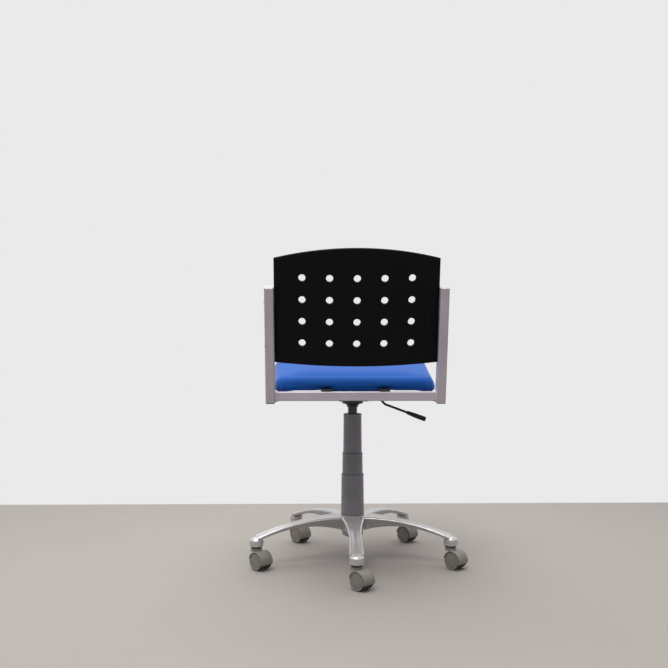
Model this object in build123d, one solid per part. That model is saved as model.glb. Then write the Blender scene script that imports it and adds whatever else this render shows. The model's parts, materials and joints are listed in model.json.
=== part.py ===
from build123d import *
import os
from math import asin, cos, radians, sin, sqrt, tan

os.makedirs("parts", exist_ok=True)

# Swivel office chair in millimetres.
# The origin is on the floor under the column, +Z is up, the sitter looks along +Y and +X is the lever side.

# Fits and gaps
running_gap = 0.06
seat_gap = 0.3
sleeve_gap = 0.4
press_gap = 0.02

# Castors
castor_count = 5
stem_circle = 295.0
wheel_diameter = 50.0
wheel_width = 14.0
wheel_space = 16.0
wheel_edge = 2.4
wheel_rim = 4.0
wheel_hub_radius = 7.0
wheel_skin = 3.0
castor_trail = 18.0
castor_turn = -45.0
axle_diameter = 6.0
hood_clearance = 1.0
hood_skin = 2.2
hood_rear_angle = -15.0
hood_front_angle = 168.0
hood_neck_radius = 16.0
hood_neck_height = 8.0
hood_neck_taper = 1.0
hood_rim_round = 1.3
wheel_dish = 19.5
wheel_ring = 1.6
wheel_ring_depth = 1.1
wheel_centre_drop = 0.2
castor_height = 59.0
stem_diameter = 11.0
stem_pin_diameter = 8.0
stem_flange_radius = 10.0
stem_flange = 2.4
stem_grip_depth = 1.0
stem_grip_length = 3.0
sleeve_wall = 2.0
sleeve_flange_radius = 17.0
sleeve_flange = 3.8
sleeve_round = 0.9

# Star base
hub_height = 58.0
hub_foot_radius = 31.0
hub_waist_radius = 34.0
hub_top_radius = 43.0
hub_edge = 4.0
hub_waist_height = 26.0
hub_shoulder = 11.6
arm_fall = 44.0
arm_level = 50.0
arm_root = 86.0
arm_waist = 34.5
arm_end = 40.0
arm_waist_share = 0.746
arm_flare = 1.7
arm_root_depth = 52.0
arm_tip_depth = 10.0
arm_taper = 2.8
arm_flange = 7.0
arm_shoulder = 4.0
arm_round = 0.23
arm_valley = 2.6
arm_draft = 1.2
arm_wall = 4.0
arm_stations = 9
arm_start = 20.0
rib_thickness = 3.0
rib_count = 4
socket_height = 17.0
socket_dome = 9.5
socket_floor = 6.0

# Gas lift
tube_diameter = 50.0
tube_wall = 2.0
tube_taper = 1.0
tube_overhang = 4.0
tube_floor = 4.0
bush_length = 90.0
cylinder_diameter = 28.0
cylinder_wall = 2.0
cone_drop = 0.9
cone_length = 38.0
cone_grip = 32.0
gland_length = 12.0
rod_diameter = 10.0
race_thickness = 2.0
race_radius = 15.0
ball_diameter = 4.0
ball_count = 10
ball_circle = 10.5
cage_margin = 1.2
cage_thickness = 1.6
collar_thickness = 4.0
collar_step = 2.0
rod_step = 1.0
rod_foot = 2.0
clip_thickness = 2.0
clip_radius = 10.0
clip_gap = 0.3
clip_mouth = 7.0
piston_length = 16.0
piston_lead = 16.0
seal_depth = 1.2
seal_width = 3.2
lift_down = 120.0
lift_up = 20.0
lift_spare = 5.0

# Cover sleeves
cover_wall = 1.3
cover_lip = 0.8
cover_lip_height = 4.0
cover_lip_slope = 1.2
cover_cap = 3.0
cover_lower_foot = 68.5
cover_lower_height = 122.0
cover_middle_shown = 63.0
cover_upper_shown = 116.5
cover_draft = 0.7
cover_overlap = 14.0
cover_share = 0.5
cover_foot_gap = 1.2
cylinder_shown = 20.5

# Mechanism
sheet = 2.5
housing_width = 92.0
housing_length = 170.0
housing_depth = 36.0
housing_corner = 10.0
housing_bend = 5.0
socket_neck_radius = 16.5
socket_neck = 1.5
flare_radius = 31.0
flare_height = 22.0
flare_rim = 11.5
flare_hollow_run = 4.2
flare_hollow_rise = 6.4
socket_core_radius = 20.0
plate_width = 196.0
plate_length = 236.0
plate_thickness = 3.0
plate_corner = 15.0
plate_fold = 12.0
bolt_spacing_x = 160.0
bolt_spacing_y = 200.0
bolt_diameter = 8.0
bolt_clearance = 0.3
bolt_head_width = 13.0
bolt_head = 5.3
nut_barrel = 10.0
nut_flange_radius = 11.0
nut_flange = 1.5

# Lever
lever_diameter = 7.0
lever_pivot_x = 33.0
lever_inner = 6.0
lever_knee_x = 58.0
lever_elbow_x = 97.0
lever_elbow_drop = 41.5
lever_reach = 219.0
lever_slope = 20.5
lever_bend = 10.0
lever_lift = 8.0
eye_radius = 7.0
eye_length = 14.0
ear_thickness = 2.5
ear_gap = 0.4
ear_width = 18.0
pivot_diameter = 6.0
pivot_head_radius = 4.5
pivot_head = 1.6
slot_width = 10.0
slot_depth = 16.0
slot_height = 17.0
grip_length = 60.0
grip_diameter = 14.0
grip_end_round = 3.0
grip_neck_radius = 5.0
grip_swell_radius = 6.8
grip_swell_at = 25.0
grip_tip_radius = 2.8
grip_tip_shoulder = 5.6
grip_ring_first = 27.0
grip_ring_last = 51.0
grip_ring_depth = 0.7
grip_ring_count = 5
valve_diameter = 8.0
valve_length = 30.0
valve_shown = 7.0
valve_dome = 2.0
valve_spare = 1.0

# Frame
frame_width = 492.0
post_width = 25.0
post_depth = 40.0
post_wall = 2.0
post_corner = 4.0
post_foot = 16.0
post_length = 321.0
post_lean = 14.0
cap_head = 3.0
plug_head = 2.5
cap_insert = 12.0
cap_edge = 1.2
rail_size = 25.0
rail_corner = 3.0
rail_setback = 218.0
gusset_run = 14.0
gusset_drop = 4.0
gusset_depth = 18.0
bar_width = 30.0
bar_thickness = 6.0
bar_front = 122.0
bar_corner = 9.0

# Backrest shell
shell_thickness = 9.0
shell_foot = 98.0
shell_rise = 78.5
shell_bow_share = 0.0703
shell_sag_share = 0.068
shell_foot_bow = 4.0
shell_edge = 3.2
hole_diameter = 19.0
hole_columns = 5
hole_rows = 4
hole_share_x = 0.165
hole_share_v = 0.2063
hole_edge = 1.2
screw_diameter = 4.0
screw_grip = 10.0
screw_head_radius = 4.6
screw_head = 2.6
screw_low = 44.0
screw_drop = 43.0
screw_spare = 1.0

# Seat
board_thickness = 12.0
board_inset = 16.0
cushion_front = 236.0
cushion_rear = 206.0
cushion_front_width = 504.0
cushion_rear_width = 446.0
cushion_front_corner = 60.0
cushion_rear_corner = 55.0
cushion_side_height = 5.0
cushion_tuck = 4.0
cushion_roll = 26.0
cushion_edge_height = 50.0
cushion_tilt = 5.5
cushion_crown = 8.0
cushion_crown_reach = 110.0
cushion_roll_steps = 4
cushion_crown_steps = 5
corner_loss = 0.55

# Heights that follow from the sizes above
wheel_radius = wheel_diameter / 2
hood_inner = wheel_radius + hood_clearance
hood_outer = hood_inner + hood_skin
web_width = wheel_space - 2 * seat_gap
castor_width = wheel_space + 2 * wheel_width
axle_length = castor_width - 2 * wheel_skin - 2 * seat_gap
stem_base = castor_height + seat_gap
sleeve_base = stem_base + stem_flange
socket_base = sleeve_base + sleeve_flange
socket_roof = socket_base + socket_height
sleeve_radius = stem_diameter / 2 + running_gap + sleeve_wall
stem_top = socket_roof + socket_dome - socket_floor
hub_top = socket_roof + socket_dome + arm_fall
hub_base = hub_top - hub_height
tube_base = hub_base - tube_overhang
race_base = tube_base + tube_floor
ball_base = race_base + race_thickness
upper_race_base = ball_base + ball_diameter
collar_base = upper_race_base + race_thickness
collar_top = collar_base + collar_thickness
cylinder_base = collar_top + lift_spare + lift_down
cover_lower_top = hub_top + cover_lower_height
cover_middle_top = cover_lower_top + cover_middle_shown
cover_top = cover_middle_top + cover_upper_shown
tube_top = cover_top - cover_cap - lift_down - lift_spare
cone_base = cover_top + cylinder_shown
cylinder_top = cone_base + cone_length
gland_top = cylinder_base + gland_length
piston_base = gland_top + lift_up + piston_lead
piston_top = piston_base + piston_length
cylinder_bore_top = cover_top + cover_cap
housing_base = cone_base + flare_height
plate_base = housing_base + housing_depth
bar_base = plate_base + plate_thickness
board_base = bar_base + bar_thickness
board_top = board_base + board_thickness
rail_top = bar_base
rail_middle = rail_top - rail_size / 2
valve_top = cylinder_top + valve_shown
lever_z = valve_top + seat_gap + lever_diameter / 2
frame_inner = frame_width - 2 * post_width
post_top = post_length - post_foot
shell_width = frame_inner - 2 * seat_gap
shell_side_height = post_top + shell_rise - shell_foot
shell_bow = shell_width * shell_bow_share
shell_sag = shell_width * shell_sag_share
shell_radius = (shell_width ** 2 / 4 + shell_sag ** 2) / (2 * shell_sag)
hole_pitch_x = shell_width * hole_share_x
hole_pitch_v = shell_side_height * hole_share_v
bend_reach = stem_circle - arm_level
bend_radius = (bend_reach ** 2 + arm_fall ** 2) / (2 * arm_fall)
arm_waist_at = arm_waist_share * stem_circle
lever_valve_travel = lever_pivot_x * radians(lever_lift)

# The back frame leans about this point, at the middle of the rear rail
lean_origin = (0, -rail_setback, rail_middle)
lean_up = (0, -sin(radians(post_lean)), cos(radians(post_lean)))
lean_rear = (0, -cos(radians(post_lean)), -sin(radians(post_lean)))


def lean_point(x, up, rear=0.0):
    """Point of the leaning back frame, up its slope and out to its rear."""
    y = lean_origin[1] + up * lean_up[1] + rear * lean_rear[1]
    z = lean_origin[2] + up * lean_up[2] + rear * lean_rear[2]
    return (x, y, z)


def lean_section(x, up):
    """Plane across the slope, with local y towards the front."""
    return Plane(origin=lean_point(x, up), x_dir=(1, 0, 0), z_dir=lean_up)


def lean_face():
    """Plane along the slope, with local y up the slope and its normal to the rear."""
    return Plane(origin=lean_origin, x_dir=(1, 0, 0), z_dir=lean_rear)


def turned(*points):
    """Solid of revolution about Z from corners given as radius and height."""
    return revolve(Plane.XZ * make_face(Polyline(*points, close=True)), Axis.Z)


def turned_edges(*edges):
    """Solid of revolution about Z from lines and arcs that close on themselves."""
    return revolve(Plane.XZ * make_face(list(edges)), Axis.Z)


def dome(radius, base, height):
    """Profile line of a round dome from its rim up, or down, to its middle."""
    ball = (radius ** 2 + height ** 2) / (2 * abs(height))
    sign = 1.0 if height > 0 else -1.0
    half = asin(radius / ball) / 2
    centre = base + height - sign * ball
    middle = (ball * sin(half), centre + sign * ball * cos(half))
    return ThreePointArc((radius, base), middle, (0, base + height))


def ring(outer, inner, base, height):
    """Plain ring standing on the height given."""
    body = Pos(0, 0, base + height / 2) * Cylinder(outer, height)
    return body - Pos(0, 0, base + height / 2) * Cylinder(inner, height)


def post(radius, base, height):
    """Plain upright cylinder standing on the height given."""
    return Pos(0, 0, base + height / 2) * Cylinder(radius, height)


def arm_angle(index):
    """Direction of an arm, the first one pointing to the rear."""
    return -90.0 + index * 360.0 / castor_count


def at_arm(index):
    """Frame of one arm, with its X along the arm."""
    return Rot(0, 0, arm_angle(index))


def at_castor(index):
    """Frame of one castor on the floor under its stem, with its X along the trail."""
    angle = radians(arm_angle(index))
    place = Pos(stem_circle * cos(angle), stem_circle * sin(angle), 0)
    return place * Rot(0, 0, castor_turn)


# Star base

def arm_top(radius):
    """Height of the arm crest, level at the hub and then on one long bend."""
    run = max(radius - arm_level, 0.0)
    return hub_top - (bend_radius - sqrt(bend_radius ** 2 - run ** 2))


def arm_width(radius):
    """Width of the arm, wide at the hub, waisted, and wider again at the socket."""
    inward = max(arm_waist_at - radius, 0.0) / arm_waist_at
    outward = max(radius - arm_waist_at, 0.0) / (stem_circle - arm_waist_at)
    return arm_waist + (arm_root - arm_waist) * inward ** arm_flare + (arm_end - arm_waist) * outward


def arm_depth(radius):
    """Depth of the arm below its crest."""
    share = 1.0 - radius / stem_circle
    return arm_tip_depth + (arm_root_depth - arm_tip_depth) * share ** arm_taper


def arm_plane(radius):
    """Upright plane across the arm."""
    return Plane(origin=(radius, 0, 0), x_dir=(0, 1, 0), z_dir=(1, 0, 0))


def arm_section(radius):
    """Section with a rounded flange along each side and a shallow valley between them."""
    half = arm_width(radius) / 2
    crest = arm_top(radius)
    low = crest - arm_depth(radius)
    side = crest - arm_shoulder
    foot = half - arm_draft
    ridge = half - arm_flange
    round_x = half - arm_flange * arm_round
    round_z = crest - arm_shoulder * arm_round
    edges = [
        Line((-foot, low), (-half, side)),
        ThreePointArc((-half, side), (-round_x, round_z), (-ridge, crest)),
        ThreePointArc((-ridge, crest), (0, crest - arm_valley), (ridge, crest)),
        ThreePointArc((ridge, crest), (round_x, round_z), (half, side)),
        Line((half, side), (foot, low)),
        Line((foot, low), (-foot, low)),
    ]
    return arm_plane(radius) * make_face(edges)


def pocket_section(radius):
    """Section of the hollow under the arm."""
    half = arm_width(radius) / 2 - arm_draft - arm_wall
    roof = arm_top(radius) - arm_valley - arm_wall
    low = arm_top(radius) - arm_depth(radius) - arm_wall
    outline = Polyline((-half, low), (half, low), (half, roof), (-half, roof), close=True)
    return arm_plane(radius) * make_face(outline)


def spaced(first, last, count):
    """Evenly spaced values from the first to the last."""
    return [first + (last - first) * step / (count - 1) for step in range(count)]


def make_socket():
    """Rounded boss at the end of an arm."""
    radius = arm_end / 2
    crest = socket_roof + socket_dome
    edges = [
        Line((0, socket_base), (radius, socket_base)),
        Line((radius, socket_base), (radius, socket_roof)),
        dome(radius, socket_roof, socket_dome),
        Line((0, crest), (0, socket_base)),
    ]
    return Pos(stem_circle, 0, 0) * turned_edges(*edges)


def make_arm():
    """One arm, hollow underneath with cross ribs, ending in a castor socket."""
    outer = loft([arm_section(radius) for radius in spaced(arm_start, stem_circle, arm_stations)])
    pocket_end = stem_circle - arm_end / 2 - arm_wall
    pocket_start = hub_top_radius + arm_wall
    pocket = loft([pocket_section(radius) for radius in spaced(pocket_start, pocket_end, arm_stations)])
    arm = outer - pocket
    for radius in spaced(pocket_start, pocket_end, rib_count + 2)[1:-1]:
        slab = Pos(radius, 0, hub_top / 2) * Box(rib_thickness, arm_root, hub_top)
        arm += outer & slab
    bore_radius = sleeve_radius + press_gap
    bore_top = stem_top + seat_gap
    bore = Pos(stem_circle, 0, 0) * post(bore_radius, socket_base, bore_top - socket_base)
    return arm + make_socket() - bore


def arm_sector():
    """Wedge of the base that one arm keeps to, so that its neighbours meet it on a plane."""
    reach = stem_circle * 2
    half = reach * tan(radians(180.0 / castor_count))
    return extrude(make_face(Polyline((0, 0), (reach, -half), (reach, half), close=True)), hub_top * 2)


def make_star_base():
    """Cast base: a tapered hub and equal arms, bored for the gas lift."""
    base = turned(
        (0, hub_base),
        (hub_foot_radius, hub_base),
        (hub_waist_radius, hub_base + hub_waist_height),
        (hub_top_radius, hub_top - hub_shoulder),
        (hub_top_radius, hub_top - hub_edge),
        (hub_top_radius - hub_edge, hub_top),
        (0, hub_top),
    )
    arm = make_arm() & arm_sector()
    for index in range(castor_count):
        base += at_arm(index) * arm
    top_radius = tube_diameter / 2 + press_gap
    low_radius = top_radius - tube_taper
    bore = turned((0, hub_base), (low_radius, hub_base), (top_radius, hub_top), (0, hub_top))
    return base - bore


def make_castor_sleeves():
    """Dark flanged sleeves in the castor sockets."""
    inner = stem_diameter / 2 + running_gap
    sleeve = ring(sleeve_flange_radius, inner, sleeve_base, sleeve_flange)
    rims = sleeve.edges().filter_by(GeomType.CIRCLE).sort_by(SortBy.RADIUS)[-2:]
    sleeve = fillet(rims, sleeve_round)
    sleeve += ring(sleeve_radius, inner, socket_base, stem_top - socket_base)
    return [at_castor(index) * sleeve for index in range(castor_count)]


def make_castor_stems():
    """Steel stems gripped in the sleeves, with a pin below for each castor to turn on."""
    radius = stem_diameter / 2
    groove = (stem_top + socket_base) / 2
    stem = post(radius, sleeve_base, stem_top - sleeve_base)
    stem -= ring(radius, radius - stem_grip_depth, groove, stem_grip_length)
    stem += post(stem_flange_radius, stem_base, stem_flange)
    pin_base = wheel_radius + axle_diameter
    stem += post(stem_pin_diameter / 2, pin_base, stem_base - pin_base)
    return [at_castor(index) * stem for index in range(castor_count)]


# Castors

def make_hood():
    """Castor hood: a curved cover, a web between the wheels, and a neck for the stem."""
    centre = (castor_trail, wheel_radius)
    sweep_angle = hood_front_angle - hood_rear_angle
    outer = CenterArc(centre, hood_outer, hood_rear_angle, sweep_angle)
    inner = CenterArc(centre, hood_inner, hood_rear_angle, sweep_angle)
    cover_face = make_face([outer, inner, Line(outer @ 0, inner @ 0), Line(outer @ 1, inner @ 1)])
    cover = extrude(Plane.XZ * cover_face, castor_width / 2, both=True)
    middle = hood_inner + hood_skin / 2
    rims = [edge for edge in cover.edges().filter_by(GeomType.CIRCLE) if edge.radius > middle]
    cover = fillet(rims, hood_rim_round)
    web_arc = CenterArc(centre, middle, hood_rear_angle, sweep_angle)
    web_face = make_face([web_arc, Line(web_arc @ 1, centre), Line(centre, web_arc @ 0)])
    web_face += Pos(*centre) * Circle(axle_diameter * 2)
    web = extrude(Plane.XZ * web_face, web_width / 2, both=True)
    boss = post(web_width / 2, wheel_radius, castor_height - wheel_radius)
    neck_base = castor_height - hood_neck_height
    neck = turned(
        (0, neck_base),
        (hood_neck_radius + hood_neck_taper, neck_base),
        (hood_neck_radius, castor_height - hood_neck_taper),
        (hood_neck_radius - hood_neck_taper, castor_height),
        (0, castor_height),
    )
    hood = cover + web + boss + neck
    pin_base = wheel_radius + axle_diameter - seat_gap
    hood -= post(stem_pin_diameter / 2 + running_gap, pin_base, castor_height - pin_base)
    return hood - at_axle() * Rot(90, 0, 0) * Cylinder(axle_diameter / 2 + press_gap, castor_width)


def at_axle():
    """Frame of the castor axle."""
    return Pos(castor_trail, 0, wheel_radius)


def make_axle():
    """Steel axle through the web."""
    return at_axle() * Rot(90, 0, 0) * Cylinder(axle_diameter / 2, axle_length)


def make_wheel(side):
    """One castor wheel: a hollow tread ring and hub behind a dished outer face."""
    edge = wheel_edge
    bore = axle_diameter / 2 + running_gap
    floor_height = wheel_width - wheel_skin
    rim = wheel_radius - wheel_rim
    low = wheel_width - wheel_ring_depth
    wheel = turned(
        (bore, 0),
        (wheel_hub_radius, 0),
        (wheel_hub_radius, floor_height),
        (rim, floor_height),
        (rim, 0),
        (wheel_radius - edge / 2, 0),
        (wheel_radius, edge / 2),
        (wheel_radius, wheel_width - edge),
        (wheel_radius - edge / 3, wheel_width - edge / 3),
        (wheel_radius - edge, wheel_width),
        (wheel_dish + wheel_ring, wheel_width),
        (wheel_dish, low),
        (wheel_dish - wheel_ring, low),
        (wheel_dish - 2 * wheel_ring, wheel_width - wheel_centre_drop),
        (0, wheel_width),
        (0, floor_height),
        (bore, floor_height),
    )
    return at_axle() * Pos(0, side * wheel_space / 2, 0) * Rot(-90 * side, 0, 0) * wheel


# Gas lift

def make_lift_tube():
    """Outer tube, tapered where it wedges into the hub and closed at its foot."""
    radius = tube_diameter / 2
    low = radius - tube_taper
    inner = radius - tube_wall
    inner_low = low - tube_wall
    rod_hole = rod_diameter / 2 + running_gap
    foot = low - tube_taper * tube_overhang / hub_height
    return turned(
        (rod_hole, tube_base),
        (foot, tube_base),
        (low, hub_base),
        (radius, hub_top),
        (radius, tube_top),
        (inner, tube_top),
        (inner, hub_top),
        (inner_low, race_base),
        (rod_hole, race_base),
    )


def make_guide_bush():
    """Plastic bush that guides the cylinder in the tube."""
    outer = tube_diameter / 2 - tube_wall - press_gap
    return ring(outer, cylinder_diameter / 2 + running_gap, tube_top - bush_length, bush_length)


def make_race(base):
    """Hardened washer of the thrust bearing."""
    return ring(race_radius, rod_diameter / 2 + running_gap, base, race_thickness)


def make_ball_cage():
    """Cage and balls of the thrust bearing."""
    middle = ball_base + ball_diameter / 2
    cage_inner = rod_diameter / 2 + cage_margin
    cage = ring(race_radius - cage_margin, cage_inner, middle - cage_thickness / 2, cage_thickness)
    for index in range(ball_count):
        turn = Rot(0, 0, index * 360.0 / ball_count)
        cage += turn * Pos(ball_circle, 0, middle) * Sphere(ball_diameter / 2 - press_gap)
    return cage


def make_piston_rod():
    """Rod with the collar that rests on the bearing, a clip groove, and a thin end for the piston."""
    radius = rod_diameter / 2
    clip_top = tube_base - clip_gap
    foot = clip_top - clip_thickness - rod_foot
    rod = post(radius, foot, piston_base - foot)
    rod += post(radius - rod_step, piston_base, piston_length)
    rod += post(race_radius - collar_step, collar_base, collar_thickness)
    return rod - ring(radius, radius - rod_step, clip_top - clip_thickness, clip_thickness)


def make_rod_clip():
    """Open retaining clip under the tube."""
    base = tube_base - clip_gap - clip_thickness
    clip = ring(clip_radius, rod_diameter / 2 - rod_step + press_gap, base, clip_thickness)
    mouth = Box(clip_radius * 2, clip_mouth, clip_thickness)
    return clip - Pos(clip_radius, 0, base + clip_thickness / 2) * mouth


def make_piston():
    """Piston with a seal groove."""
    outer = cylinder_diameter / 2 - cylinder_wall - running_gap
    piston = ring(outer, rod_diameter / 2 - rod_step + press_gap, piston_base, piston_length)
    seal_base = piston_base + (piston_length - seal_width) / 2
    return piston - ring(outer, outer - seal_depth, seal_base, seal_width)


def cone_radius(height):
    """Radius of the cone at the top of the cylinder."""
    return cylinder_diameter / 2 - cone_drop * (height - cone_base) / cone_length


def make_gas_cylinder():
    """Cylinder, bored from below, with a cone at its top that wedges into the mechanism."""
    radius = cylinder_diameter / 2
    bore = radius - cylinder_wall
    body = turned(
        (0, cylinder_base),
        (radius, cylinder_base),
        (radius, cone_base),
        (cone_radius(cylinder_top), cylinder_top),
        (0, cylinder_top),
    )
    body -= post(bore, cylinder_base, cylinder_bore_top - cylinder_base)
    valve_floor = valve_top - valve_length - lever_valve_travel - valve_spare
    return body - post(valve_diameter / 2 + running_gap, valve_floor, cylinder_top - valve_floor)


def make_cylinder_gland():
    """Seal gland that closes the foot of the cylinder round the rod."""
    outer = cylinder_diameter / 2 - cylinder_wall - press_gap
    return ring(outer, rod_diameter / 2 + running_gap, cylinder_base, gland_length)


def make_valve_button():
    """Domed release button in the top of the cylinder."""
    radius = valve_diameter / 2
    shoulder = valve_top - valve_dome
    base = valve_top - valve_length
    edges = [
        Line((0, base), (radius, base)),
        Line((radius, base), (radius, shoulder)),
        dome(radius, shoulder, valve_dome),
        Line((0, valve_top), (0, base)),
    ]
    return turned_edges(*edges)


# Cover sleeves

def sleeve_foot(step):
    """Outer radius at the foot of a sleeve, each one clear inside the one below."""
    return cover_lower_foot / 2 - step * (2 * cover_draft + cover_wall + sleeve_gap)


def sleeve_span(step):
    """Foot and head of a sleeve at the shown seat height."""
    middle_base = hub_top + cover_share * lift_down + cover_foot_gap
    upper_base = cover_middle_top - cover_overlap - cover_share * lift_up
    spans = [(hub_top, cover_lower_top), (middle_base, cover_middle_top), (upper_base, cover_top)]
    return spans[step]


def sleeve_outer(step, height):
    """Outer radius of a sleeve at a height."""
    base, top = sleeve_span(step)
    return sleeve_foot(step) - 2 * cover_draft * (height - base) / (top - base)


def make_sleeve(step, inner_lip):
    """Slightly tapered sleeve with a bead round its top and a lip turned in to the given radius."""
    base, top = sleeve_span(step)
    foot = sleeve_foot(step)
    head = foot - 2 * cover_draft
    return turned(
        (foot - cover_wall, base),
        (foot, base),
        (head, top - cover_lip_height),
        (head + cover_lip, top - cover_lip_height + cover_lip_slope),
        (head + cover_lip, top - cover_lip_slope),
        (head, top),
        (inner_lip, top),
        (inner_lip, top - cover_lip_height / 2),
        (head - cover_wall, top - cover_lip_height),
    )


def guide_lip(step, rise):
    """Radius of the lip that guides the next sleeve, clear of it at the top of its travel."""
    return sleeve_outer(step + 1, sleeve_span(step)[1] - rise) + sleeve_gap


def make_cover_lower():
    """Lower sleeve, standing on the hub."""
    return make_sleeve(0, guide_lip(0, cover_share * lift_up))


def make_cover_middle():
    """Middle sleeve, free to slide between the other two."""
    return make_sleeve(1, guide_lip(1, (1 - cover_share) * lift_up))


def make_cover_upper():
    """Upper sleeve, closed by a cap that grips the cylinder."""
    head = sleeve_foot(2) - 2 * cover_draft
    sleeve = make_sleeve(2, head - cover_wall - seat_gap)
    inner = cylinder_diameter / 2 + press_gap
    return sleeve + ring(head - cover_wall / 2, inner, cover_top - cover_cap, cover_cap)


# Mechanism

def make_taper_socket():
    """Socket that takes the cone of the cylinder and flares out under the housing."""
    grip_top = cone_base + cone_grip
    neck_top = cone_base + socket_neck
    rim = housing_base - flare_rim
    low = cone_radius(cone_base) + press_gap
    high = cone_radius(grip_top) + press_gap
    waist = (socket_neck_radius + flare_hollow_run, neck_top + flare_hollow_rise)
    edges = [
        Line((low, cone_base), (socket_neck_radius, cone_base)),
        Line((socket_neck_radius, cone_base), (socket_neck_radius, neck_top)),
        ThreePointArc((socket_neck_radius, neck_top), waist, (flare_radius, rim)),
        Line((flare_radius, rim), (flare_radius, housing_base)),
        Line((flare_radius, housing_base), (socket_core_radius, housing_base)),
        Line((socket_core_radius, housing_base), (socket_core_radius, grip_top)),
        Line((socket_core_radius, grip_top), (high, grip_top)),
        Line((high, grip_top), (low, cone_base)),
    ]
    return turned_edges(*edges)


def make_mechanism_housing():
    """Pressed tray with two ears for the lever pivot and a slot for the lever."""
    outer = extrude(RectangleRounded(housing_width, housing_length, housing_corner), housing_depth)
    outer = fillet(outer.faces().sort_by(Axis.Z)[0].edges(), housing_bend)
    inside = RectangleRounded(housing_width - 2 * sheet, housing_length - 2 * sheet, housing_corner - sheet)
    inner = Pos(0, 0, sheet) * extrude(inside, housing_depth)
    inner = fillet(inner.faces().sort_by(Axis.Z)[0].edges(), housing_bend - sheet)
    tray = Pos(0, 0, housing_base) * (outer - inner)
    ear_base = housing_base + sheet / 2
    ear_height = lever_z - ear_base
    ear_y = eye_length / 2 + ear_gap + ear_thickness / 2
    for side in (-1, 1):
        place = Pos(lever_pivot_x, side * ear_y, ear_base + ear_height / 2)
        tray += place * Box(ear_width, ear_thickness, ear_height)
        crown = Rot(90, 0, 0) * Cylinder(ear_width / 2, ear_thickness)
        tray += Pos(lever_pivot_x, side * ear_y, lever_z) * crown
    tray -= lever_pivot_bore()
    wall = housing_width / 2
    tray -= Pos(wall, 0, lever_z) * Box(slot_depth, slot_width, slot_height)
    return tray - post(socket_core_radius + press_gap, housing_base, sheet * 2)


def lever_pivot_bore():
    """Hole for the pivot pin through both ears."""
    bore = Rot(90, 0, 0) * Cylinder(pivot_diameter / 2 + press_gap, eye_length * 3)
    return Pos(lever_pivot_x, 0, lever_z) * bore


def make_lever_pivot():
    """Headed pin that the lever turns on."""
    reach = eye_length / 2 + ear_gap + ear_thickness
    pin = Rot(90, 0, 0) * Cylinder(pivot_diameter / 2, 2 * reach + 2 * seat_gap)
    for side in (-1, 1):
        place = Pos(0, side * (reach + seat_gap + pivot_head / 2), 0)
        pin += place * Rot(90, 0, 0) * Cylinder(pivot_head_radius, pivot_head)
    return Pos(lever_pivot_x, 0, lever_z) * pin


def bolt_places():
    """Centres of the four mechanism bolts."""
    return [Pos(sx * bolt_spacing_x / 2, sy * bolt_spacing_y / 2, 0) for sx in (-1, 1) for sy in (-1, 1)]


def make_mechanism_plate():
    """Pressed plate with folded front and rear edges."""
    plate = extrude(RectangleRounded(plate_width, plate_length, plate_corner), plate_thickness)
    for side in (-1, 1):
        place = Pos(0, side * (plate_length - plate_thickness) / 2, (plate_thickness - plate_fold) / 2)
        plate += place * Box(plate_width - 2 * plate_corner, plate_thickness, plate_fold + plate_thickness)
    plate = Pos(0, 0, plate_base) * plate
    for place in bolt_places():
        plate -= place * post(bolt_diameter / 2 + bolt_clearance, plate_base, plate_thickness)
    return plate


def make_mechanism_bolts():
    """Four hexagon-headed bolts from below."""
    hexagon = RegularPolygon(bolt_head_width / 2, 6, major_radius=False)
    head = Pos(0, 0, plate_base - bolt_head) * extrude(hexagon, bolt_head)
    bolt = head + post(bolt_diameter / 2, plate_base, board_top - nut_flange - plate_base)
    return [place * bolt for place in bolt_places()]


def make_tee_nuts():
    """Four tee nuts let into the seat board."""
    bore = bolt_diameter / 2 + running_gap
    flange_base = board_top - nut_flange
    barrel_base = board_base + seat_gap
    nut = ring(nut_barrel / 2, bore, barrel_base, flange_base - barrel_base)
    nut += ring(nut_flange_radius, bore, flange_base, nut_flange)
    return [place * nut for place in bolt_places()]


# Lever

def lever_points():
    """Corners of the lever in its own upright plane."""
    elbow_z = lever_z - lever_elbow_drop
    end_z = elbow_z - (lever_reach - lever_elbow_x) * tan(radians(lever_slope))
    inner = (-lever_inner, 0, lever_z)
    knee = (lever_knee_x, 0, lever_z)
    elbow = (lever_elbow_x, 0, elbow_z)
    return [inner, knee, elbow, (lever_reach, 0, end_z)]


def grip_plane():
    """Plane at the inner end of the grip, looking along the lever."""
    end = lever_points()[-1]
    along = (cos(radians(lever_slope)), 0, -sin(radians(lever_slope)))
    start = (end[0] - grip_length * along[0], 0, end[2] - grip_length * along[2])
    return Plane(origin=start, x_dir=(0, 1, 0), z_dir=along)


def make_lever_rod():
    """Bent rod with an eye for the pivot; its inner end stands over the button."""
    points = lever_points()
    slope = radians(lever_slope)
    end = points[-1]
    rod_end = (end[0] - grip_end_round * 2 * cos(slope), 0, end[2] + grip_end_round * 2 * sin(slope))
    path = FilletPolyline(points[0], points[1], points[2], rod_end, radius=lever_bend)
    profile = Plane(origin=points[0], z_dir=(1, 0, 0)) * Circle(lever_diameter / 2)
    rod = sweep(profile, path)
    rod += Pos(lever_pivot_x, 0, lever_z) * Rot(90, 0, 0) * Cylinder(eye_radius, eye_length)
    bore = Rot(90, 0, 0) * Cylinder(pivot_diameter / 2 + running_gap, eye_length * 2)
    return rod - Pos(lever_pivot_x, 0, lever_z) * bore


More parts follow.
